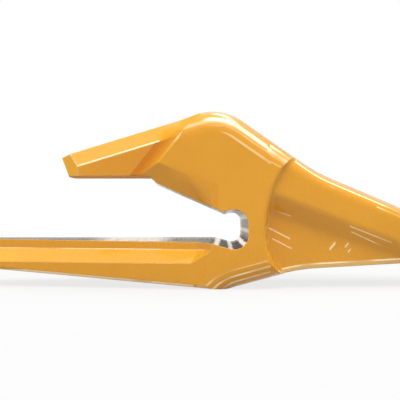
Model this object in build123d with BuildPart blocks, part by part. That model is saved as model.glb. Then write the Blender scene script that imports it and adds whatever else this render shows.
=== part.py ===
"""Weld-on two-strap bucket tooth adapter, one steel casting.

The frame: +X runs along the machine's digging direction to the nose, +Z is up and
the XZ plane is the mid-plane of the casting. The origin lies on the lower seat,
where the underside of the bucket's base edge rests, below the crown of the body.
"""
from build123d import *
from math import atan2, cos, degrees, radians, sin, tan
import os

os.makedirs("parts", exist_ok=True)

# Overall forms of the body, in millimetres and degrees
body_width = 100.0
crown_height = 88.7
crown_x = 14.4
crown_radius = 34.0
back_angle = 16.8
front_angle = 34.8
belly_depth = 32.1
belly_x = 17.9
belly_radius = 30.0
belly_angle = 15.0
body_top_radius = 14.0
body_bottom_radius = 12.0
bottom_round_lead = 16.0
bottom_round_angle = 36.0

# The slot that takes the base edge
plate_gap = 42.0
seat_land = 24.0
seat_draft = 2.0
throat_draft = 4.0
throat_x = 28.9
throat_crown = 17.8
throat_drop = 2.8
throat_ramp = 10.3
throat_floor = 0.9
throat_depth = 12.1
throat_radius = 6.5
lip_angle = 23.6
lip_end_drop = 1.0
corner_relief_start = 6.9
corner_relief_end = 11.6

# The upper strap
upper_strap_inset = 12.0
upper_strap_reach = 95.2
upper_strap_taper = 3.0
upper_strap_end_lean = 64.0
upper_strap_end_flat = 24.0
upper_strap_end_cut = 15.0
upper_strap_chamfer = 10.0
shoulder_x = -34.5
shoulder_lean = 52.0
shoulder_run = 10.0
shoulder_fillet = 7.0

# The lower strap
lower_strap_reach = 165.0
lower_strap_angle = 4.4
lower_strap_taper = 10.1
lower_strap_taper_x = 4.0
lower_strap_end_flat = 18.0
lower_strap_end_cut = 12.0

# The weld bevels along both straps
bevel_inset = 8.0
bevel_runout = 45.0
bevel_runout_radius = 6.0
lower_bevel_top = 6.2
lower_bevel_drop = 8.5
lower_bevel_end = 6.0
upper_bevel_rise = 14.0
upper_bevel_length = 54.0

# The nose
nose_length = 179.0
nose_inset = 4.0
nose_taper = 5.0
nose_top_angle = 22.6
nose_knee_x = 76.9
nose_knee_radius = 100.0
nose_bottom_angle = 3.0
nose_heel_x = 65.4
nose_heel_radius = 120.0
nose_tip_radius = 5.0
nose_top_radius = 9.0

# The shoulder that stops the tooth
stop_x = 42.2
stop_z = 5.5
stop_upper_radius = 81.0
stop_lower_radius = 46.0
stop_draft = 12.0
stop_fillet = 3.0
stop_edge_radius = 2.5

# The recess along each side of the nose
recess_depth = 10.0
recess_rise = 13.0
recess_z = 32.1
recess_angle = 21.0
recess_fade = 2.0
recess_fillet = 8.0

# The bore of the retaining pin
pin_bore = 22.0
pin_x = 84.0

# Roundings left by the mould
strap_edge_radius = 2.5
shoulder_edge_radius = 2.0
relief_radius = 2.0

half_width = body_width / 2
strap_half = half_width - upper_strap_inset
nose_half = half_width - nose_inset
mid_gap = plate_gap / 3
far = nose_length + lower_strap_reach
outside = body_width


def falling(x, start_x, start_z, angle):
    """Height of a line that falls towards +X at an angle."""
    return start_z - (x - start_x) * tan(radians(angle))


def back_top(x):
    """Height of the strap's top face, which rises towards the crown."""
    return falling(x, crown_x, crown_height, -back_angle)


def strap_bottom(x):
    """Height of the lower strap's underside."""
    return falling(x, belly_x, -belly_depth, lower_strap_angle)


knee_z = falling(nose_knee_x, crown_x, crown_height, front_angle)
nose_end_top = falling(nose_length, nose_knee_x, knee_z, nose_top_angle)
heel_z = falling(nose_heel_x, belly_x, -belly_depth, -belly_angle)
nose_end_bottom = falling(nose_length, nose_heel_x, heel_z, -nose_bottom_angle)

# Room beside the upper strap: the strap's flank and the shoulder up to the body
lean = Vector(cos(radians(shoulder_lean)), 0, sin(radians(shoulder_lean)))
shoulder_foot_x = shoulder_x - (plate_gap - mid_gap) / tan(radians(shoulder_lean))
with BuildPart() as beside_upper_strap:
    with BuildSketch(Plane.XY.offset(mid_gap)):
        with BuildLine():
            FilletPolyline(
                (-far, -strap_half + far * tan(radians(upper_strap_taper))),
                (shoulder_foot_x - shoulder_run, -strap_half),
                (shoulder_foot_x + shoulder_run, -half_width - upper_strap_inset),
                (shoulder_foot_x + shoulder_run, -outside),
                (-far, -outside),
                radius=(0, shoulder_fillet, 0, 0, 0),
                close=True,
            )
        make_face()
    extrude(amount=2 * crown_height, dir=lean)
    mirror(about=Plane.XZ)

# Room beyond the end of the upper strap, which leans back to its weld
end_top = back_top(-upper_strap_reach)
end_foot_x = (end_top - mid_gap) / tan(radians(upper_strap_end_lean)) - upper_strap_reach
with BuildPart() as beyond_upper_strap:
    with BuildSketch(Plane.XZ):
        Polygon(
            (-far, mid_gap),
            (end_foot_x, mid_gap),
            (2 * -upper_strap_reach - end_foot_x, 2 * end_top - mid_gap),
            (-far, 2 * end_top - mid_gap),
            align=None,
        )
    extrude(amount=outside, both=True)
    with BuildSketch(Plane.XY.offset(mid_gap)):
        with BuildLine():
            Polyline(
                (-upper_strap_reach, -upper_strap_end_flat / 2),
                (upper_strap_end_cut - upper_strap_reach, -strap_half),
                (2 * upper_strap_end_cut - upper_strap_reach, upper_strap_end_flat / 2 - 2 * strap_half),
                (-far, upper_strap_end_flat / 2 - 2 * strap_half),
                (-far, -upper_strap_end_flat / 2),
                close=True,
            )
        make_face()
    extrude(amount=crown_height)
    mirror(about=Plane.XZ)

# Room beside the lower strap, which narrows towards its end
lower_taper = tan(radians(lower_strap_taper))
lower_cut_x = lower_strap_end_cut - lower_strap_reach
lower_cut_half = half_width - (lower_strap_taper_x - lower_cut_x) * lower_taper
with BuildPart() as beside_lower_strap:
    with BuildSketch(Plane.XY.offset(mid_gap)):
        with BuildLine():
            Polyline(
                (lower_strap_taper_x, -half_width),
                (lower_cut_x, -lower_cut_half),
                (-lower_strap_reach, -lower_strap_end_flat / 2),
                (-far, -lower_strap_end_flat / 2),
                (-far, -outside),
                (lower_strap_taper_x, -outside),
                close=True,
            )
        make_face()
    extrude(amount=-outside)
    mirror(about=Plane.XZ)

# The slot: two level seats, a sloping seat for the bevel of the base edge, and the throat
lip_end_z = throat_crown - lip_end_drop
lip_end_x = throat_x - throat_depth
lip_x = lip_end_x - (plate_gap - lip_end_z) / tan(radians(lip_angle))
relief_end_x = lip_x + corner_relief_end
ramp_end_x = throat_x - throat_radius - throat_floor
ramp_start_x = ramp_end_x - throat_ramp
seat_outline = (
    (-far, 0),
    (ramp_end_x, 0),
    (lip_end_x, lip_end_z),
    (relief_end_x, falling(relief_end_x, lip_x, plate_gap, lip_angle)),
    (lip_x + corner_relief_start, plate_gap),
    (-far, plate_gap),
)
throat_outline = (
    (ramp_start_x - throat_ramp, throat_drop),
    (ramp_end_x, -throat_drop),
    (throat_x, -throat_drop),
    (throat_x, throat_crown),
    (lip_end_x + 3 * lip_end_drop, throat_crown),
    (lip_end_x, lip_end_z),
    (ramp_start_x - throat_ramp, lip_end_z - throat_radius),
)
seat_radii = (0, 0, 0, 0, relief_radius, 0)
throat_radii = (0, throat_drop, throat_radius, throat_radius, throat_drop, 0, 0)
with BuildPart() as slot:
    with BuildSketch(Plane.XZ) as seat_face:
        with BuildLine():
            FilletPolyline(*seat_outline, radius=seat_radii, close=True)
        make_face()
    extrude(amount=seat_land / 2, both=True)
    with BuildSketch(Plane.XZ) as throat_face:
        with BuildLine():
            FilletPolyline(*throat_outline, radius=throat_radii, close=True)
        make_face()
    extrude(amount=seat_land / 2, both=True)

# The same slot, drafted towards both sides of the casting
with BuildPart() as slot_flare:
    with BuildSketch(Plane.XZ.offset(seat_land / 2)):
        with BuildLine():
            FilletPolyline(*seat_outline, radius=seat_radii, close=True)
        make_face()
    extrude(amount=half_width, taper=-seat_draft)
    with BuildSketch(Plane.XZ.offset(seat_land / 2)):
        with BuildLine():
            FilletPolyline(*throat_outline, radius=throat_radii, close=True)
        make_face()
    extrude(amount=half_width, taper=-throat_draft)
    mirror(about=Plane.XZ)

# The weld bevels of the lower strap, which run out onto the body
inset = bevel_inset / cos(radians(lower_strap_taper))
runout = tan(radians(bevel_runout))
land_end_x = lower_bevel_end - bevel_inset / runout
land_half = half_width - inset - (lower_strap_taper_x - land_end_x) * lower_taper
cut_half = half_width - inset - (lower_strap_taper_x - lower_cut_x) * lower_taper
with BuildPart() as lower_bevels:
    with BuildSketch(Plane.XY.offset(-lower_bevel_top)) as land_room:
        with BuildLine():
            FilletPolyline(
                (bevel_inset - lower_strap_reach, bevel_inset),
                (bevel_inset - lower_strap_reach, -lower_strap_end_flat / 2),
                (lower_cut_x + bevel_inset, -cut_half),
                (land_end_x, -land_half),
                (land_end_x + outside / runout, -land_half - outside),
                (-far, -land_half - outside),
                (-far, bevel_inset),
                radius=(0, 0, 0, bevel_runout_radius, 0, 0, 0),
                close=True,
            )
        make_face()
    extrude(amount=lower_bevel_top + mid_gap)
    extrude(
        land_room.sketch,
        amount=-lower_bevel_drop,
        taper=degrees(atan2(bevel_inset, lower_bevel_drop)),
    )
    mirror(about=Plane.XZ)

# The weld bevels above the sloping seat
lip_fall = radians(lip_angle)
lip_plane = Plane(
    origin=(lip_x, 0, plate_gap),
    x_dir=(cos(lip_fall), 0, -sin(lip_fall)),
    z_dir=(-sin(lip_fall), 0, -cos(lip_fall)),
)
bevel_end = upper_bevel_length - bevel_inset / runout
with BuildPart() as upper_bevels:
    with BuildSketch(lip_plane):
        with BuildLine():
            FilletPolyline(
                (-outside, bevel_inset - half_width),
                (bevel_end, bevel_inset - half_width),
                (bevel_end + half_width / runout, bevel_inset - body_width),
                (-outside, bevel_inset - body_width),
                radius=(0, bevel_runout_radius, 0, 0),
                close=True,
            )
        make_face()
    extrude(amount=-upper_bevel_rise, taper=degrees(atan2(bevel_inset, upper_bevel_rise)))
    mirror(about=Plane.XZ)

# The large rounding along the top of the body
body_round_x = nose_length + body_top_radius
with BuildPart() as top_rounds:
    with BuildLine(Plane.XZ.offset(half_width)) as top_path:
        FilletPolyline(
            (shoulder_x, back_top(shoulder_x)),
            (crown_x, crown_height),
            (nose_knee_x, knee_z),
            (body_round_x, falling(body_round_x, nose_knee_x, knee_z, nose_top_angle)),
            radius=(crown_radius, nose_knee_radius),
        )
    with BuildSketch(Plane(origin=top_path.line @ 0, x_dir=(0, 1, 0), z_dir=top_path.line % 0)):
        with BuildLine():
            CenterArc((body_top_radius, -body_top_radius), body_top_radius, 180, -90)
            Polyline(
                (body_top_radius, 0),
                (body_top_radius, body_top_radius),
                (-body_top_radius, body_top_radius),
                (-body_top_radius, -body_top_radius),
                (0, -body_top_radius),
            )
        make_face()
    sweep(path=top_path.line)
    mirror(about=Plane.XZ)

# The large rounding under the body, which starts at the belly
belly_line = radians(belly_angle)
round_start = radians(bottom_round_angle)
bend_x = belly_x - bottom_round_lead / 4
bend_z = falling(bend_x, belly_x, -belly_depth, -belly_angle) + body_bottom_radius / cos(belly_line)
round_reach = nose_heel_x - bend_x
round_lead = 3 * body_bottom_radius
with BuildPart() as bottom_rounds:
    with BuildLine(Plane.XZ.offset(half_width)) as round_path:
        FilletPolyline(
            (bend_x - round_lead * cos(round_start), bend_z - round_lead * sin(round_start)),
            (bend_x, bend_z),
            (bend_x + round_reach * cos(belly_line), bend_z + round_reach * sin(belly_line)),
            radius=(body_top_radius * 3),
        )
    with BuildSketch(Plane(origin=round_path.line @ 0, x_dir=(0, 1, 0), z_dir=round_path.line % 0)):
        with BuildLine():
            CenterArc((body_bottom_radius, 0), body_bottom_radius, 180, 90)
            Polyline(
                (body_bottom_radius, -body_bottom_radius),
                (body_bottom_radius, -2 * body_bottom_radius),
                (-body_bottom_radius, -2 * body_bottom_radius),
                (-body_bottom_radius, 0),
                (0, 0),
            )
        make_face()
    sweep(path=round_path.line)
    mirror(about=Plane.XZ)

# Room beside the nose, cut back to the shoulder that stops the tooth
nose_fall = radians(nose_taper)
nose_root_x = stop_x + stop_fillet
flank_plane = Plane(
    origin=(nose_root_x, -nose_half, 0),
    x_dir=(cos(nose_fall), sin(nose_fall), 0),
    z_dir=(sin(nose_fall), -cos(nose_fall), 0),
)


def on_flank(x, z):
    """Point of the side outline as measured in the plane of the nose's flank."""
    return ((x - nose_root_x) / cos(nose_fall), z)


def flank_y(x):
    """Place of the nose's flank, which tapers towards the tip."""
    return (x - nose_root_x) * tan(nose_fall) - nose_half


def recess_section(x):
    """Points of the room beside the nose across one station, with the recess in its flank."""
    fade = 1 - (x - nose_root_x) * tan(radians(recess_fade)) / recess_depth
    step_y = flank_y(x) + recess_depth * fade
    step_z = falling(x, nose_root_x, recess_z, recess_angle)
    return (
        (flank_y(x), outside),
        (flank_y(x), step_z),
        (step_y, step_z - recess_rise * fade),
        (step_y, -outside),
        (-outside, -outside),
        (-outside, outside),
    )


def is_stop_wall(face):
    """Whether a face of the room beside the nose is the wall of the stop."""
    return face.normal_at(face.center()).X < -0.6 and stop_x < face.center().X < stop_x + half_width


def at_stop_root(edge):
    """Whether an edge of the stop's wall is where the wall meets the nose."""
    inside = min((edge @ 0).Y, (edge @ 1).Y) > stop_edge_radius - half_width
    return inside and abs((edge @ 0).Z - (edge @ 1).Z) > 0.1


def at_stop_edge(edge):
    """Whether an arc is the outer edge of the stop's wall."""
    middle = edge @ 0.5
    on_side = abs(abs(middle.Y) - half_width) < 0.01
    return on_side and abs((edge % 0.5).Z) > 0.5 and middle.X > stop_x - stop_edge_radius


def beside_top(edge):
    """Whether an edge of the upper strap's top face follows its flank or the shoulder."""
    return abs(edge.center().Y) > strap_half / 2 and abs((edge @ 0).Y - (edge @ 1).Y) > 0.01


def under_lower_strap(edge):
    """Whether an edge borders the underside of the lower strap."""
    below = edge.center().Z < strap_bottom(-lower_strap_reach) + 0.01
    return below and edge.center().X < lower_strap_taper_x


def at_shoulder(edge):
    """Whether an edge is where the shoulder meets the side of the body."""
    on_side = abs(abs((edge @ 0).Y) - half_width) < 0.01 and abs(abs((edge @ 1).Y) - half_width) < 0.01
    return on_side and abs((edge % 0.5).dot(lean)) > 0.999


round_start_x = nose_knee_x - half_width
nose_round_x = nose_length + nose_top_radius
with BuildPart() as beside_nose:
    for station_x in (round_start_x, nose_round_x):
        with BuildSketch(Plane.YZ.offset(station_x)):
            with BuildLine():
                FilletPolyline(
                    *recess_section(station_x),
                    radius=(0, recess_fillet, recess_fillet, 0, 0, 0),
                    close=True,
                )
            make_face()
    loft(ruled=True)
    with BuildSketch(Plane.XY.offset(-outside)):
        with BuildLine():
            FilletPolyline(
                (nose_length - 2 * nose_tip_radius, flank_y(nose_length - 2 * nose_tip_radius)),
                (nose_length, flank_y(nose_length)),
                (nose_length, 0),
                (nose_round_x, 0),
                (nose_round_x, -outside),
                (nose_length - 2 * nose_tip_radius, -outside),
                radius=(0, nose_tip_radius, 0, 0, 0, 0),
                close=True,
            )
        make_face()
    extrude(amount=2 * outside)
    with BuildLine(flank_plane) as nose_path:
        FilletPolyline(
            on_flank(round_start_x, falling(round_start_x, crown_x, crown_height, front_angle)),
            on_flank(nose_knee_x, knee_z),
            on_flank(nose_round_x, falling(nose_round_x, nose_knee_x, knee_z, nose_top_angle)),
            radius=nose_knee_radius,
        )
    inward = flank_plane.z_dir * -1
    with BuildSketch(Plane(origin=nose_path.line @ 0, x_dir=inward, z_dir=nose_path.line % 0)):
        with BuildLine():
            CenterArc((nose_top_radius, -nose_top_radius), nose_top_radius, 180, -90)
            Polyline(
                (nose_top_radius, 0),
                (nose_top_radius, nose_top_radius),
                (-nose_top_radius, nose_top_radius),
                (-nose_top_radius, -nose_top_radius),
                (0, -nose_top_radius),
            )
        make_face()
    sweep(path=nose_path.line)
    with BuildSketch(Plane.XZ.offset(half_width)) as stop_face:
        with BuildLine():
            upper_stop = CenterArc((stop_x + stop_upper_radius, stop_z), stop_upper_radius, 180, -60)
            lower_stop = CenterArc((stop_x + stop_lower_radius, stop_z), stop_lower_radius, 180, 60)
            Polyline(upper_stop @ 1, (far, (upper_stop @ 1).Y), (far, (lower_stop @ 1).Y), lower_stop @ 1)
        make_face()
    extrude(amount=-half_width, taper=stop_draft, mode=Mode.INTERSECT)
    stop_walls = beside_nose.faces().filter_by(is_stop_wall)
    fillet(stop_walls.edges().filter_by(at_stop_root), radius=stop_fillet)

# The casting: the side outline, less the rooms beside its nose and its two straps
outline_radii = (
    0,
    belly_radius,
    nose_heel_radius,
    nose_tip_radius,
    nose_tip_radius,
    nose_knee_radius,
    crown_radius,
    0,
)
with BuildPart() as adapter:
    with BuildSketch(Plane.XZ):
        with BuildLine():
            FilletPolyline(
                (-lower_strap_reach, strap_bottom(-lower_strap_reach)),
                (belly_x, -belly_depth),
                (nose_heel_x, heel_z),
                (nose_length, nose_end_bottom),
                (nose_length, nose_end_top),
                (nose_knee_x, knee_z),
                (crown_x, crown_height),
                (-lower_strap_reach, back_top(-lower_strap_reach)),
                radius=outline_radii,
                close=True,
            )
        make_face()
    extrude(amount=half_width, both=True)
    add(beside_lower_strap.part, mode=Mode.SUBTRACT)
    add(beside_nose.part, mode=Mode.SUBTRACT)
    add(beside_nose.part.mirror(Plane.XZ), mode=Mode.SUBTRACT)
    fillet(edges().filter_by(GeomType.CIRCLE).filter_by(at_stop_edge), radius=stop_edge_radius)
    add(beside_upper_strap.part, mode=Mode.SUBTRACT)
    strap_top = faces().sort_by_distance((-upper_strap_reach, 0, back_top(-upper_strap_reach)))[0]
    chamfer(strap_top.edges().filter_by(beside_top), length=upper_strap_chamfer)
    add(top_rounds.part, mode=Mode.SUBTRACT)
    fillet(edges().filter_by(at_shoulder), radius=shoulder_edge_radius)
    add(beyond_upper_strap.part, mode=Mode.SUBTRACT)
    add(bottom_rounds.part, mode=Mode.SUBTRACT)
    fillet(edges().filter_by(under_lower_strap), radius=strap_edge_radius)
    add(slot.part, mode=Mode.SUBTRACT)
    add(slot_flare.part, mode=Mode.SUBTRACT)
    add(lower_bevels.part, mode=Mode.SUBTRACT)
    add(upper_bevels.part, mode=Mode.SUBTRACT)
    with Locations((pin_x, 0, crown_height)):
        Hole(radius=pin_bore / 2)

adapter.part.label = "adapter_casting"
export_step(adapter.part, "parts/adapter_casting.step")
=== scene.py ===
"""Studio scene of a two-strap bucket tooth adapter in glossy paint over cast steel."""
import math

import bpy
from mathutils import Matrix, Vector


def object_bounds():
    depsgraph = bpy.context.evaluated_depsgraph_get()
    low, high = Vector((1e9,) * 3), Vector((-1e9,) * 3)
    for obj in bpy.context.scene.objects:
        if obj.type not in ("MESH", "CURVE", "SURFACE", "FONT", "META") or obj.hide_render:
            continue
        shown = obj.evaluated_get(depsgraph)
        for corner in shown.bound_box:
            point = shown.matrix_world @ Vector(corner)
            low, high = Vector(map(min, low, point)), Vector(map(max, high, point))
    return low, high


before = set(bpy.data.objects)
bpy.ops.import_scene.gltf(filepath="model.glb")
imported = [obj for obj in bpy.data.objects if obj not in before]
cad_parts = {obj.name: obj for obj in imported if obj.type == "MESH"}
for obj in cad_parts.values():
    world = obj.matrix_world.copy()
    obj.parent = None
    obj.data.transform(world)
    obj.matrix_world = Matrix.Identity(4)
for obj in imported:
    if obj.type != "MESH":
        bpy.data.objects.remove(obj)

cad_low, cad_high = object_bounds()
MM = 0.001

# Places on the casting, in mm from the origin on the lower seat.
HALF_WIDTH = cad_high.y / MM
UPPER_SEAT = 42.0
STRAP_END = -78.0
CROWN_FROM, CROWN_FULL = 0.0, 9.0
NOSE_FROM = 46.0
NOSE_FLANK_FROM = 47.0

# Straight lines along the side of the casting: X and Z of a point in mm, and the slope.
CHAMFER_EDGE = (14.4, 78.25, 0.302)
SEAT_BEVEL_EDGE = (-26.7, 50.1, -0.387)
STRAP_BEVEL_EDGE = (0.0, -6.2, 0.0)
# where the painted highlight streak runs on the front slope
FRONT_SLOPE_HIGHLIGHT_LINE = (32.6, 68.2, -0.69)
# where a faint painted highlight runs below the rounding of the front slope
FRONT_SLOPE_FAINT_HIGHLIGHT = (40.4, 55.0, -0.58)
NOSE_ROOT_UNDERSIDE = (17.9, -32.1, 0.268)
NOSE_UNDERSIDE = (65.4, -19.37, 0.0524)

# Painted glints, pale strokes on the flank of the nose: X and Z of both ends and half the width,
# in mm.
NOSE_GLINTS = (
    (47.7, 20.6, 60.5, 15.9, 0.30),
    (45.5, 8.3, 60.0, 0.8, 0.50),
    (48.0, 1.1, 61.0, -5.7, 0.45),
    (86.4, -6.3, 90.4, -1.7, 1.10),
    (96.9, -4.7, 99.3, -2.0, 0.80),
    (98.9, -8.0, 100.7, -6.0, 0.70),
    (99.0, 9.5, 127.5, -1.8, 0.40),
    (100.4, 5.6, 121.0, -3.8, 0.35),
)

# Tones of the paint, the same orange made deeper or paler, and of the steel.
# Deep, light and grain are the paint's own tones; the other paint tones are painted highlights,
# reflections, light and shade, and the steel's dark and light tones hold painted reflections.
PAINT_DEEP = (0.640, 0.280, 0.011, 1)
PAINT_LIGHT = (0.680, 0.300, 0.014, 1)
PAINT_GRAIN = (0.58, 0.240, 0.010, 1)
# painted highlight: the pale cream of highlight lines and edges
PAINT_HIGHLIGHT = (0.95, 0.76, 0.44, 1)
# painted shade: deeper orange on the strap's side, above the seat's bevel and in the shoulder's
# corner
PAINT_SHADE = (0.47, 0.145, 0.006, 1)
# painted highlight: the bright streak on the rounding from the crown to the stop
PAINT_HIGHLIGHT_STREAK = (1.0, 0.90, 0.66, 1)
# painted light: brighter orange on the leaning end face of the upper strap
PAINT_STRAP_END_LIT = (0.84, 0.41, 0.03, 1)
# painted dark reflection on the upper rounding of the nose
PAINT_NOSE_RIM_REFLECTION = (0.42, 0.28, 0.16, 1)
# painted reflection of a rounded lower edge along the nose
PAINT_NOSE_SILL_REFLECTION = (0.62, 0.45, 0.19, 1)
# painted dark reflection on the upper rounding from the crown to the stop
PAINT_CROWN_RIM_REFLECTION = (0.40, 0.24, 0.05, 1)
# painted light: lighter orange towards the upper edge of the seat's bevel
PAINT_SEAT_BEVEL_LIT = (0.78, 0.33, 0.012, 1)
# painted light: lighter orange on the up-facing bevel of the lower strap
PAINT_STRAP_BEVEL_LIT = (0.72, 0.34, 0.019, 1)
# painted light: brighter orange on the stop wall
PAINT_STOP_WALL_LIT = (0.95, 0.50, 0.05, 1)
# painted reflections: the steel's tones at its darkest and lightest bands, and seen edge-on
STEEL_DARK = (0.28, 0.235, 0.195, 1)
STEEL_LIGHT = (0.96, 0.88, 0.79, 1)
STEEL_MARKS = (0.16, 0.13, 0.11, 1)
STEEL_EDGE_ON_DARK = (0.20, 0.165, 0.135, 1)
STEEL_EDGE_ON_LIGHT = (1.0, 0.95, 0.88, 1)
WHITE = (1, 1, 1, 1)


class Nodes:
    """Adds nodes to a tree. A value is a node's output or a plain number or colour."""

    def __init__(self, tree):
        tree.nodes.clear()
        self.tree = tree

    def node(self, kind, **settings):
        node = self.tree.nodes.new("ShaderNode" + kind)
        for name, setting in settings.items():
            setattr(node, name, setting)
        return node

    def put(self, value, socket):
        if hasattr(value, "is_linked"):
            self.tree.links.new(value, socket)
        else:
            socket.default_value = value

    def put_in_order(self, values, sockets):
        for value, socket in zip(values, sockets):
            self.put(value, socket)

    def put_by_name(self, node, values):
        for name, value in values.items():
            self.put(value, node.inputs[name])

    def math(self, operation, *values):
        node = self.node("Math", operation=operation)
        self.put_in_order(values, node.inputs)
        return node.outputs[0]

    def eased(self, value, low, high, to_low=0.0, to_high=1.0):
        """Goes smoothly from one number to another while the value goes from low to high."""
        node = self.node("MapRange", interpolation_type="SMOOTHSTEP")
        self.put_in_order((value, low, high, to_low, to_high), node.inputs)
        return node.outputs[0]

    def fading(self, value, low, high):
        return self.eased(value, low, high, 1.0, 0.0)

    def noise(self, where, scale=1.0, detail=2.0, roughness=0.5):
        node = self.node("TexNoise")
        self.put_by_name(
            node, {"Vector": where, "Scale": scale, "Detail": detail, "Roughness": roughness})
        return node.outputs["Fac"]

    def scaled(self, where, *factors):
        node = self.node("Mapping")
        self.put_by_name(node, {"Vector": where, "Scale": factors})
        return node.outputs["Vector"]

    def split(self, vector):
        node = self.node("SeparateXYZ")
        self.put(vector, node.inputs[0])
        return node.outputs

    def mixed(self, factor, first, second):
        """A colour between two colours."""
        node = self.node("Mix", data_type="RGBA")
        self.put_in_order((factor, first, second), (node.inputs["Factor"], *node.inputs[6:8]))
        return node.outputs[2]

    def between(self, factor, first, second):
        """A number between two numbers."""
        node = self.node("Mix")
        self.put_in_order((factor, first, second), (node.inputs["Factor"], *node.inputs[2:4]))
        return node.outputs[0]

    def mixed_shader(self, factor, first, second):
        node = self.node("MixShader")
        self.put_in_order((factor, first, second), node.inputs)
        return node.outputs[0]

    def seen_directly(self):
        """1 for rays from the camera, or mirrored or refracted on the way to it."""
        path = self.node("LightPath")
        seen = self.math("MAXIMUM", path.outputs["Is Camera Ray"], path.outputs["Is Glossy Ray"])
        return self.math("MAXIMUM", seen, path.outputs["Is Transmission Ray"])

    def close(self, shader, kind="OutputMaterial"):
        self.put(shader, self.node(kind).inputs["Surface"])


class Skin(Nodes):
    """The casting's surface, with masks on it that run from 0 to 1.

    x, z and side tell where a point is in mm, and forward, back, up, down and across
    how far it faces that way, up to 1. Forward is towards the nose. Side and across
    are the same on both sides of the mid-plane.
    """

    def __init__(self, tree):
        super().__init__(tree)
        self.where = self.node("TexCoord").outputs["Object"]
        in_mm = self.node("VectorMath", operation="SCALE")
        self.put_by_name(in_mm, {"Vector": self.where, "Scale": 1 / MM})
        self.x, y, self.z = self.split(in_mm.outputs[0])
        self.side = self.math("ABSOLUTE", y)

        geometry = self.node("NewGeometry")
        self.true_normal = geometry.outputs["True Normal"]
        self.forward, sideways, self.up = self.split(geometry.outputs["Normal"])
        self.back = self.math("MULTIPLY", self.forward, -1.0)
        self.down = self.math("MULTIPLY", self.up, -1.0)
        self.across = self.math("ABSOLUTE", sideways)

        # the paint rounds every sharp edge a little
        soft = self.node("Bevel", samples=6)
        self.put(1.0 * MM, soft.inputs["Radius"])
        self.soft_normal = soft.outputs[0]

        self.grain = self.noise(self.where, scale=420.0, detail=4.0, roughness=0.6)
        self.peel = self.noise(self.where, scale=95.0)
        drawn_across = self.scaled(self.where, 700.0, 18.0, 700.0)
        self.marks = self.noise(drawn_across, detail=3.0, roughness=0.6)
        self.patches = self.noise(self.scaled(self.where, 25.0, 60.0, 60.0))

    def both(self, *masks):
        """Masks multiplied with one another. A plain number among them weakens the result."""
        result = masks[0]
        for mask in masks[1:]:
            result = self.math("MULTIPLY", result, mask)
        return result

    def either(self, *masks):
        result = masks[0]
        for mask in masks[1:]:
            result = self.math("MAXIMUM", result, mask)
        return result

    def besides(self, mask):
        return self.math("SUBTRACT", 1.0, mask)

    def within(self, **limits):
        """1 where each named quantity is between its lowest and highest. None is no limit."""
        masks = []
        for name, (lowest, highest) in limits.items():
            quantity = getattr(self, name)
            if lowest is not None:
                masks.append(self.math("GREATER_THAN", quantity, lowest))
            if highest is not None:
                masks.append(self.math("LESS_THAN", quantity, highest))
        return self.both(*masks)

    def height(self, line):
        """Height of a line along the side of the casting."""
        start_x, start_z, slope = line
        return self.math("MULTIPLY_ADD", self.x, slope, start_z - start_x * slope)

    def from_height(self, height):
        return self.math("ABSOLUTE", self.math("SUBTRACT", self.z, height))

    def stripe(self, height, half_width):
        """1 close to a height, measured in mm."""
        return self.math("LESS_THAN", self.from_height(height), half_width)

    def nose_bottom(self):
        """Height of the lower edge of the nose, bent smoothly near its root."""
        bend = 4.0
        root, nose = self.height(NOSE_ROOT_UNDERSIDE), self.height(NOSE_UNDERSIDE)
        return self.math("SMOOTH_MIN", root, nose, bend)

    def patchy(self):
        """Patches along the casting, where a painted highlight line is strong or weak."""
        weakest = 0.25
        return self.eased(self.patches, 0.36, 0.52, weakest, 1.0)


def bare_steel(skin):
    """The lower seat, the sloping seat and the throat, which the base edge keeps bare."""
    seat_floor, throat_drop, throat_from, throat_to = -1.7, -5.0, 8.0, 32.4
    slope_start, slope_degrees, throat_roof = 26.3, 23.6, 20.8
    in_throat = skin.within(x=(throat_from, None))
    floor_z = skin.math("MULTIPLY_ADD", in_throat, throat_drop, seat_floor)
    slope = -math.tan(math.radians(slope_degrees))
    roof = skin.math("MAXIMUM", skin.height((0.0, slope_start, slope)), throat_roof)
    roof = skin.math("MINIMUM", roof, UPPER_SEAT - 1.5)
    return skin.within(x=(None, throat_to), z=(floor_z, roof), across=(None, 0.30))


def plain_paint(skin):
    """The paint itself: faintly cloudy, and a little deeper in the grain of the casting."""
    grain_depth = 0.30
    cloud = skin.noise(skin.where, scale=14.0, detail=3.0, roughness=0.55)
    tone = skin.mixed(skin.eased(cloud, 0.3, 0.7), PAINT_DEEP, PAINT_LIGHT)
    return skin.mixed(skin.eased(skin.grain, 0.56, 0.72, 0.0, grain_depth), tone, PAINT_GRAIN)


def highlights_underneath(skin):
    """Painted highlights along the roundings of the belly and along the lower strap's lower
    edge.
    """
    faintness = 0.55
    roundings = skin.either(
        skin.within(down=(0.30, 0.39)), skin.within(down=(0.60, 0.69)),
        skin.both(skin.within(down=(0.03, 0.09)), faintness))
    belly = skin.both(roundings, skin.within(x=(-2.0, NOSE_FROM), z=(None, -5.0)))
    strap = skin.within(x=(None, -4.0), z=(None, -20.0), down=(0.30, 0.80))
    return skin.either(belly, strap)


def highlights_on_straps(skin):
    """Painted highlights along the upper strap's chamfer and the lower strap's bevel."""
    chamfer = skin.both(
        skin.stripe(skin.height(CHAMFER_EDGE), half_width=0.6),
        skin.within(x=(-82.0, -27.0), z=(UPPER_SEAT + 2.0, None)))
    bevel = skin.both(
        skin.stripe(skin.height(STRAP_BEVEL_EDGE), half_width=0.45),
        skin.within(x=(None, 3.0), across=(0.5, None)))
    return skin.either(chamfer, bevel)


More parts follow.
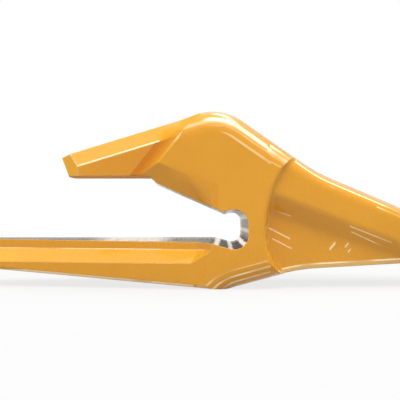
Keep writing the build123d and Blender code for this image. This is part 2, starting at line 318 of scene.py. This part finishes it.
def highlight_on_shoulder(skin):
    """A painted highlight down the outer edge of the leaning shoulder, fainter lower down."""
    lower, upper = 0.10, 0.55
    edge = skin.within(
        x=(None, 5.0), side=(HALF_WIDTH - 0.85, None), forward=(None, -0.12), up=(0.02, None))
    return skin.both(edge, skin.eased(skin.z, 62.0, 70.0, lower, upper))


def highlight_on_front_slope(skin):
    """A faint painted highlight below the rounding of the front slope, straight near the stop.
    """
    faintness = 0.45
    upper = skin.within(x=(14.0, NOSE_FROM), z=(25.0, None), up=(0.04, 0.10))
    lower = skin.both(
        skin.stripe(skin.height(FRONT_SLOPE_FAINT_HIGHLIGHT), half_width=0.6),
        skin.within(x=(NOSE_FROM, 56.0), across=(0.6, None), up=(-0.1, None)))
    return skin.both(skin.either(upper, lower), faintness)


def highlights_on_nose(skin):
    """Painted highlights along the upper rounding and just above the lower edge."""
    above_bottom = skin.math("ADD", skin.nose_bottom(), 3.0)
    return skin.either(
        skin.within(x=(NOSE_FROM, None), up=(0.56, 0.66)),
        skin.within(x=(117.0, None), up=(0.28, 0.36)),
        skin.both(
            skin.stripe(above_bottom, half_width=0.55),
            skin.within(x=(NOSE_FLANK_FROM, None), across=(0.9, None))))


def glints_on_nose(skin):
    """Painted glints: short strokes on the rail, in the recess and along the flank of the nose.
    """
    strength = 0.8
    strokes = []
    for start_x, start_z, end_x, end_z, half_width in NOSE_GLINTS:
        line = (start_x, start_z, (end_z - start_z) / (end_x - start_x))
        strokes.append(skin.both(
            skin.stripe(skin.height(line), half_width), skin.within(x=(start_x, end_x))))
    return skin.both(skin.either(*strokes), skin.within(across=(0.7, None)), strength)


def edge_highlights(skin):
    """Painted highlights along sharp edges, where the softened normal leaves the true one."""
    plain, at_strap_end, on_nose = 0.30, 0.85, 0.20
    agree = skin.node("VectorMath", operation="DOT_PRODUCT")
    skin.put_in_order((skin.soft_normal, skin.true_normal), agree.inputs)
    agree = agree.outputs["Value"]
    strap_end = skin.within(x=(None, STRAP_END), z=(UPPER_SEAT + 1.0, None))
    nose = skin.within(x=(NOSE_FROM - 4.0, None))
    everywhere = skin.both(
        skin.fading(agree, 0.87, 0.97), skin.between(strap_end, plain, at_strap_end),
        skin.between(nose, 1.0, on_nose))
    more = skin.both(skin.fading(agree, 0.92, 0.99), strap_end, at_strap_end)
    return skin.either(everywhere, more)


def painted_highlights(skin):
    """Painted highlights: pale, patchy lines on faces that don't face straight up or down, and
    the painted highlights on the edges.
    """
    lines = skin.either(
        highlights_underneath(skin), highlights_on_straps(skin), highlight_on_shoulder(skin),
        highlight_on_front_slope(skin), highlights_on_nose(skin), glints_on_nose(skin))
    lines = skin.both(lines, skin.within(across=(0.2, None)), skin.patchy())
    return skin.either(lines, edge_highlights(skin))


def strap_end(skin):
    """The end face of the upper strap, which leans back, given painted light: a brighter orange.
    """
    return skin.both(
        skin.eased(skin.back, 0.7, 0.84),
        skin.within(x=(None, STRAP_END), z=(UPPER_SEAT + 1.0, None), up=(None, 0.3)))


def nose_rim_reflection(skin):
    """The upper part of the rounding along the nose, darkened as a painted dark reflection."""
    strength = 0.6
    return skin.both(
        skin.within(x=(NOSE_FROM, None), across=(0.3, None), up=(0.74, 0.89)), strength)


def crown_rim_reflection(skin):
    """The upper part of the rounding from the crown down to the stop, darkened as a painted dark
    reflection.
    """
    strength = 0.7
    return skin.both(
        skin.eased(skin.across, 0.12, 0.30), skin.fading(skin.across, 0.54, 0.66),
        skin.eased(skin.x, CROWN_FROM, CROWN_FULL),
        skin.within(x=(None, 60.0), z=(44.0, None), up=(0.3, None)), strength)


def crown_highlight_streak(skin):
    """The painted highlight, a bright streak along that rounding, straight on its way to the
    stop.
    """
    straight_from, straight_to, strength = 44.0, 58.0, 0.9
    curved = skin.both(
        skin.eased(skin.across, 0.69, 0.79), skin.fading(skin.across, 0.82, 0.89),
        skin.eased(skin.x, CROWN_FROM, CROWN_FULL),
        skin.within(x=(None, straight_from), z=(48.0, None), up=(0.0, None)))
    off_line = skin.from_height(skin.height(FRONT_SLOPE_HIGHLIGHT_LINE))
    straight = skin.both(
        skin.fading(off_line, 0.8, 1.9),
        skin.within(x=(straight_from, straight_to), across=(0.6, None), up=(0.0, None)))
    return skin.both(skin.either(curved, straight), skin.patchy(), strength)


def above_seat_bevel(skin):
    """Height over the edge of the bevel above the sloping seat, and a mask round it."""
    over_edge = skin.math("SUBTRACT", skin.z, skin.height(SEAT_BEVEL_EDGE))
    along = skin.both(
        skin.eased(skin.x, -26.0, -14.0),
        skin.within(x=(None, 12.0), z=(20.0, None), up=(None, 0.1)))
    return over_edge, along


def shade_on_sides(skin):
    """Painted shade on the upper strap's side, and on the body's side just above the bevel of
    the seat.
    """
    at_strap_end, along_strap, at_bevel = 0.10, 0.30, 0.22
    strap = skin.both(
        skin.eased(skin.x, -95.0, -60.0, at_strap_end, along_strap),
        skin.within(
            x=(None, -20.0), z=(UPPER_SEAT + 1.5, None), across=(0.9, None),
            side=(None, HALF_WIDTH - 5.0)))
    over_edge, along = above_seat_bevel(skin)
    body = skin.both(
        skin.eased(over_edge, -0.5, 4.5, at_bevel, 0.0), along,
        skin.within(across=(0.995, None)))
    return skin.either(strap, body)


def seat_bevel_lit_top(skin):
    """The bevel above the sloping seat, with painted light that grows brighter towards its upper
    edge.
    """
    strength = 0.7
    over_edge, along = above_seat_bevel(skin)
    return skin.both(
        skin.eased(over_edge, -9.0, 0.0), along, skin.within(down=(0.2, None)), strength)


def strap_bevel_lit(skin):
    """The bevel along the lower strap, painted lighter where it faces up, as painted light."""
    return skin.within(x=(None, 3.0), z=(None, 0.0), up=(0.35, 0.9))


def shoulder_corner_shade(skin):
    """Painted shade where the leaning shoulder meets the upper strap, fading out over the
    shoulder.
    """
    inner_fade, outer_fade = 0.15, 0.72
    below_chamfer = skin.math("ADD", skin.height(CHAMFER_EDGE), -0.5)
    on_shoulder = skin.both(
        skin.eased(skin.back, 0.56, 0.65),
        skin.eased(skin.side, HALF_WIDTH - 9.0, HALF_WIDTH - 0.5, inner_fade, outer_fade))
    return skin.both(
        skin.eased(skin.back, 0.07, 0.20), skin.besides(on_shoulder),
        skin.within(
            x=(-75.0, -8.0), z=(UPPER_SEAT - 2.0, below_chamfer),
            side=(None, HALF_WIDTH - 1.4), up=(0.0, None)))


def nose_sill_reflection(skin):
    """The lowest strip of the nose, where the photograph shows a rounded edge, painted with the
    reflection of that rounding.
    """
    sill_height, strength = 2.5, 0.6
    over_bottom = skin.math("SUBTRACT", skin.z, skin.nose_bottom())
    return skin.both(
        skin.math("LESS_THAN", over_bottom, sill_height),
        skin.within(x=(NOSE_FLANK_FROM, None)), strength)


def stop_wall_lit(skin):
    """The wall that the tooth stops against, painted brighter as painted light."""
    strength = 0.5
    return skin.both(
        skin.eased(skin.forward, 0.7, 0.9), skin.within(x=(NOSE_FROM - 5.0, 85.0)), strength)


def seat_reflections(skin):
    """Painted reflections on the lower seat: bright in the middle, dark towards both ends."""
    middle, darkest_band, brightest_band, wander = -35.0, 0.18, 0.88, 22.0
    drift = skin.noise(skin.scaled(skin.where, 30.0, 20.0, 30.0))
    drifted = skin.math("ADD", skin.x, skin.math("MULTIPLY", drift, wander))
    from_middle = skin.math("ABSOLUTE", skin.math("SUBTRACT", drifted, middle))
    return skin.eased(from_middle, 14.0, 32.0, brightest_band, darkest_band)


def throat_reflections(skin):
    """Painted reflections in bands round the throat, standing for its facets, plainer above its
    floor.
    """
    centre_x, centre_z, facet_rate = 20.5, 6.5, 7.83
    unevenness, plainest, middle = 1.2, 0.35, 0.5
    turn = skin.math(
        "ARCTAN2", skin.math("SUBTRACT", skin.z, centre_z),
        skin.math("SUBTRACT", skin.x, centre_x))
    facet_reflections = skin.math("COSINE", skin.math("MULTIPLY", turn, facet_rate))
    clouds = skin.noise(skin.where, scale=130.0, detail=1.0)
    uneven = skin.math("MULTIPLY_ADD", clouds, unevenness, -unevenness / 2)
    facet_reflections = skin.eased(skin.math("ADD", facet_reflections, uneven), 0.05, 0.85)
    contrast = skin.eased(turn, -0.65, -0.25, 1.0, plainest)
    from_grey = skin.math("SUBTRACT", facet_reflections, middle)
    return skin.math("MULTIPLY_ADD", from_grey, contrast, middle)


def dull_faces(skin):
    """Faces that lean back at the upper strap, and the painted upper seat."""
    leaning = skin.both(
        skin.eased(skin.back, 0.25, 0.5),
        skin.within(z=(UPPER_SEAT - 2.0, None), up=(None, 0.9)))
    seat = skin.within(
        x=(None, 0.0), z=(UPPER_SEAT - 1.5, UPPER_SEAT + 4.0), down=(0.9, None))
    return skin.either(leaning, seat)


def painted(skin):
    """The paint with all its tones and its painted light, shade, highlights and reflections,
    each laid over those before it.
    """
    paint = plain_paint(skin)
    for mask, tone in (
            (strap_end(skin), PAINT_STRAP_END_LIT), (nose_rim_reflection(skin), PAINT_NOSE_RIM_REFLECTION),
            (crown_rim_reflection(skin), PAINT_CROWN_RIM_REFLECTION), (painted_highlights(skin), PAINT_HIGHLIGHT),
            (crown_highlight_streak(skin), PAINT_HIGHLIGHT_STREAK), (shade_on_sides(skin), PAINT_SHADE),
            (seat_bevel_lit_top(skin), PAINT_SEAT_BEVEL_LIT), (strap_bevel_lit(skin), PAINT_STRAP_BEVEL_LIT),
            (shoulder_corner_shade(skin), PAINT_SHADE), (nose_sill_reflection(skin), PAINT_NOSE_SILL_REFLECTION),
            (stop_wall_lit(skin), PAINT_STOP_WALL_LIT)):
        paint = skin.mixed(mask, paint, tone)
    return paint


def polished(skin):
    """The steel's own colour, with painted reflections in light and dark bands, fine marks
    across it, and its colour seen edge-on, which follows the same bands.
    """
    mark_depth = 0.18
    # painted reflections: light and dark bands on the seat and round the throat
    bright = skin.between(
        skin.eased(skin.x, 6.0, 10.0), seat_reflections(skin), throat_reflections(skin))
    steel = skin.mixed(bright, STEEL_DARK, STEEL_LIGHT)
    steel = skin.mixed(skin.eased(skin.marks, 0.45, 0.7, 0.0, mark_depth), steel, STEEL_MARKS)
    return steel, skin.mixed(bright, STEEL_EDGE_ON_DARK, STEEL_EDGE_ON_LIGHT)


def relief(skin, bare):
    """Normal of the skin: orange peel and grain in the paint, fine marks in the steel."""
    cast = skin.math("MULTIPLY_ADD", skin.peel, 0.7, skin.both(skin.grain, 0.3))
    bump = skin.node("Bump")
    skin.put_by_name(bump, {
        "Strength": 0.25, "Distance": 0.20 * MM,
        "Height": skin.between(bare, cast, skin.both(skin.marks, 0.12)),
        "Normal": skin.soft_normal})
    return bump.outputs[0]


def casting_material():
    """Gloss paint over the cast skin, with bare machined faces in the slot."""
    material = bpy.data.materials.new("painted_casting")
    material.use_nodes = True
    skin = Skin(material.node_tree)
    bare = bare_steel(skin)
    dull = dull_faces(skin)
    steel, edge_on = polished(skin)
    normal = relief(skin, bare)

    dulling, gloss, gloss_left = 0.45, 0.7, 0.05
    paint_rough = skin.eased(skin.grain, 0.3, 0.7, 0.24, 0.32)
    paint_rough = skin.math("MULTIPLY_ADD", dull, dulling, paint_rough)
    steel_rough = skin.eased(skin.marks, 0.3, 0.7, 0.14, 0.24)

    shader = skin.node("BsdfPrincipled")
    skin.put_by_name(shader, {
        "Base Color": skin.mixed(bare, painted(skin), steel),
        "Metallic": bare,
        "Specular Tint": skin.mixed(bare, WHITE, edge_on),
        "Roughness": skin.between(bare, paint_rough, steel_rough),
        "IOR": 1.45,
        "Specular IOR Level": 0.2,
        "Coat Weight": skin.both(skin.besides(bare), skin.between(dull, 1.0, gloss_left), gloss),
        "Coat Roughness": 0.09,
        "Coat IOR": 1.42,
        "Normal": normal,
        "Coat Normal": normal})
    skin.close(shader.outputs[0])
    return material


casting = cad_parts["adapter_casting"]
for slot in casting.material_slots:
    slot.material = casting_material()


def floor_material():
    """Pale floor that catches a shadow, and fades into the background far away."""
    glowing_part, fade_from, fade_to = 0.80, 0.30, 0.90
    darkest, palest = 0.49, 0.51
    material = bpy.data.materials.new("pale_floor")
    material.use_nodes = True
    nodes = Nodes(material.node_tree)
    where = nodes.node("TexCoord").outputs["Object"]
    distance = nodes.node("VectorMath", operation="LENGTH")
    nodes.put(where, distance.inputs[0])
    far = nodes.eased(distance.outputs["Value"], fade_from, fade_to)

    speckle = nodes.eased(nodes.noise(where, scale=60.0), 0.3, 0.7, darkest, palest)
    grey = nodes.node("CombineColor")
    nodes.put_in_order((speckle, speckle, speckle), grey.inputs)
    lit = nodes.node("BsdfDiffuse")
    nodes.put(grey.outputs[0], lit.inputs["Color"])
    glow = nodes.node("Emission")
    nodes.put(1.0, glow.inputs["Strength"])

    near_floor = nodes.mixed_shader(glowing_part, lit.outputs[0], glow.outputs[0])
    shown = nodes.mixed_shader(far, near_floor, glow.outputs[0])
    nodes.close(nodes.mixed_shader(nodes.seen_directly(), lit.outputs[0], shown))
    return material


bpy.ops.mesh.primitive_plane_add(size=12.0, location=(0, 0, cad_low.z))
floor = bpy.context.object
floor.name = "studio_floor"
floor.data.materials.append(floor_material())


def white_room():
    """A white world, dimmer as a lamp than as a background."""
    as_lamp, as_background = 0.37, 1.0
    world = bpy.data.worlds.new("studio")
    world.use_nodes = True
    nodes = Nodes(world.node_tree)
    room = nodes.node("Background")
    strength = nodes.between(nodes.seen_directly(), as_lamp, as_background)
    nodes.put_by_name(room, {"Color": WHITE, "Strength": strength})
    nodes.close(room.outputs[0], "OutputWorld")
    return world


bpy.context.scene.world = white_room()


def softbox(name, place, target, width, height, watts):
    """A rectangular lamp that faces its target. Places and sizes are in metres."""
    lamp = bpy.data.lights.new(name, "AREA")
    lamp.shape = "RECTANGLE"
    lamp.size = width
    lamp.size_y = height
    lamp.energy = watts
    holder = bpy.data.objects.new(name, lamp)
    bpy.context.scene.collection.objects.link(holder)
    holder.location = place
    aim = Vector(target) - Vector(place)
    holder.rotation_mode = "QUATERNION"
    holder.rotation_quaternion = aim.to_track_quat("-Z", "Y")


softbox("overhead", (-0.10, 0.15, 0.90), (0, 0.05, 0.03), width=1.5, height=1.0, watts=2.0)
softbox("streak", (0.28, 0.17, 0.83), (0.05, 0, 0.05), width=0.75, height=0.22, watts=4.5)
softbox("key", (0.0, -0.50, 0.95), (-0.02, 0, 0.02), width=1.0, height=0.4, watts=9.8)
softbox("front", (0.30, -0.85, 0.80), (0, 0, 0.02), width=0.9, height=0.03, watts=2.4)
softbox("left", (-0.95, -0.30, 0.35), (-0.05, 0, 0.03), width=0.3, height=0.4, watts=1.2)


# The camera is level with the slot and square to the side of the casting.
CAMERA_DISTANCE = 667 * MM
CAMERA_HEIGHT = 26.7 * MM
eye = bpy.data.cameras.new("camera")
eye.sensor_width = 36.0
eye.lens = 85.4
eye.clip_start = 0.01
eye.clip_end = 50.0
camera = bpy.data.objects.new("camera", eye)
bpy.context.scene.collection.objects.link(camera)
camera.location = (0.0, -CAMERA_DISTANCE, CAMERA_HEIGHT)
camera.rotation_euler = (math.radians(90), 0, 0)
bpy.context.scene.camera = camera
bpy.context.scene.view_settings.view_transform = "Standard"
